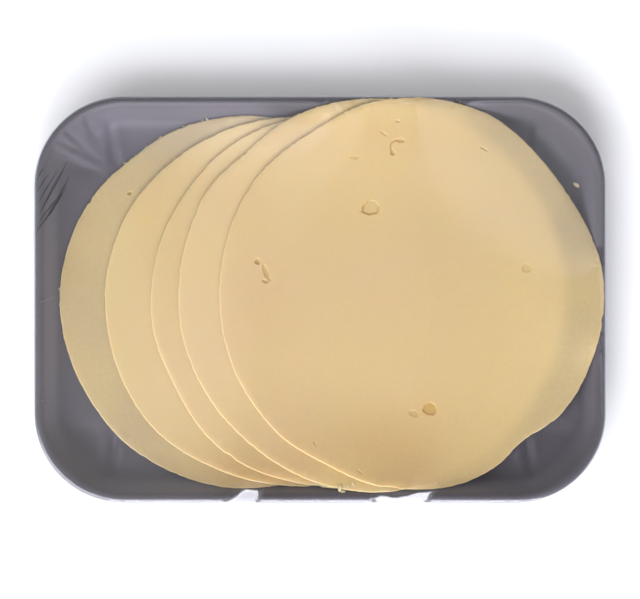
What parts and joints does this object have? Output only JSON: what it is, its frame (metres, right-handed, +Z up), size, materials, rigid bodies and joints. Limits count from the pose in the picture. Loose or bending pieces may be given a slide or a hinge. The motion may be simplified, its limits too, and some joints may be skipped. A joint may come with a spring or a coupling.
{
  "type": "tray pack of round cheese slices",
  "caption": "Shallow rectangular foam tray with rounded corners, holding fanned thin round slices of cheese under clear stretch film tucked beneath the base.",
  "frame": {"origin": "on the surface the pack stands on, under the middle of its outline", "axes": "+X along the tray from the bottom slice of the fan to the top slice, +Y across the tray, +Z up"},
  "size_m": [0.2054, 0.1464, 0.0191],
  "materials": {
    "foam": "satin foam skin",
    "cheese": "moist cut cheese",
    "film": "clear film"
  },
  "bodies": {
    "root": {"foam_tray": "foam", "cheese_slice_1": "cheese", "cheese_slice_2": "cheese", "cheese_slice_3": "cheese", "cheese_slice_4": "cheese", "cheese_slice_5": "cheese", "stretch_film": "film"}
  },
  "joints": []
}
